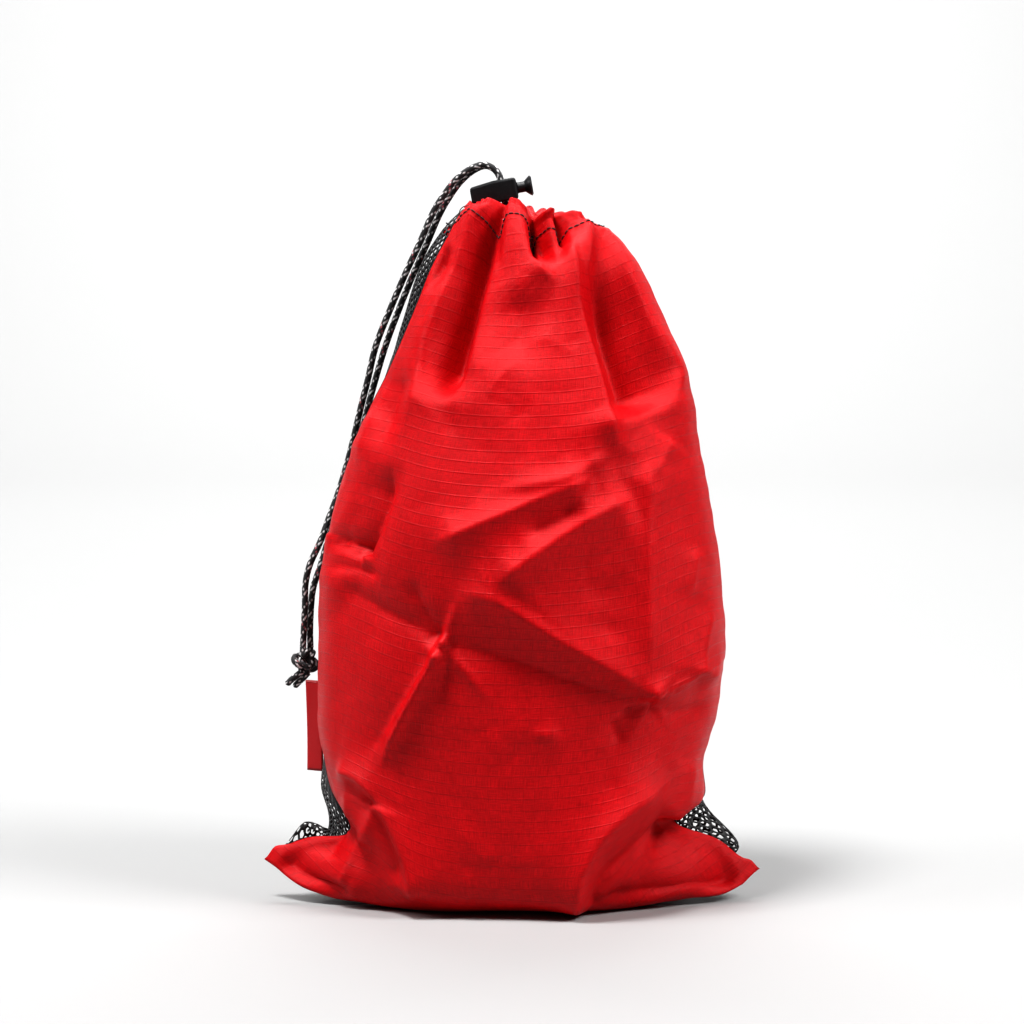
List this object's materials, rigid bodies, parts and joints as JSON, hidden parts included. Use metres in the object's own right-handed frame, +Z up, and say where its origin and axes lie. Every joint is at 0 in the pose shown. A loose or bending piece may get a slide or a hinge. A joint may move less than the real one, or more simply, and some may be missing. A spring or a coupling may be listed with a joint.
{
  "type": "drawstring stuff sack",
  "caption": "Standing drawstring stuff sack with a ripstop front, a mesh back, a gathered mouth, a spring cord lock and a knotted drawcord.",
  "frame": {"origin": "on the ground, at the middle of the filled sack without its loose cord", "axes": "+Z up, the ripstop front faces -Y, the drawcord and the label are on the -X side"},
  "size_m": [0.2254, 0.1228, 0.3341],
  "materials": {
    "ripstop": "glossy red nylon with a ripstop grid",
    "mesh": "black knitted polyester mesh",
    "seam_tape": "matt black binding",
    "thread": "black sewing thread",
    "braided_cord": "black braid with pale and red flecks",
    "lock_plastic": "moulded black nylon",
    "spring_wire": "drawn wire",
    "label_ribbon": "red satin ribbon"
  },
  "bodies": {
    "sack": {"front_panel": "ripstop", "back_panel": "mesh", "front_casing": "ripstop", "back_casing": "ripstop", "front_casing_stitch": "thread", "back_casing_stitch": "thread", "left_seam_tape": "seam_tape", "right_seam_tape": "seam_tape", "bottom_seam_tape": "seam_tape", "exit_bartack": "thread", "drawcord_loop": "braided_cord", "drawcord_left_tail": "braided_cord", "drawcord_right_tail": "braided_cord", "drawcord_knot": "braided_cord", "drawcord_left_end": "braided_cord", "drawcord_right_end": "braided_cord"},
    "cord_lock": {"cord_lock_body": "lock_plastic", "cord_lock_spring": "spring_wire"},
    "plunger": {"cord_lock_plunger": "lock_plastic"},
    "label": {"side_label": "label_ribbon"}
  },
  "joints": [
    {"name": "lock_slide", "type": "slide", "parent": "sack", "child": "cord_lock", "axis": [-0.1736, 0, 0.9848], "range_m": [0, 0.004]},
    {"name": "plunger_press", "type": "slide", "parent": "cord_lock", "child": "plunger", "axis": [-0.9848, 0, -0.1736], "range_m": [0, 0.0035], "stiffness_N_per_m": 900, "springref_m": -0.003, "deforming": ["cord_lock_spring"]},
    {"name": "label_flap", "type": "hinge", "parent": "sack", "child": "label", "pos_m": [-0.0896, 0.009, 0.0565], "axis": [0, 0, 1], "range_deg": [-75, 75], "stiffness_Nm_per_rad": 0.0005}
  ]
}
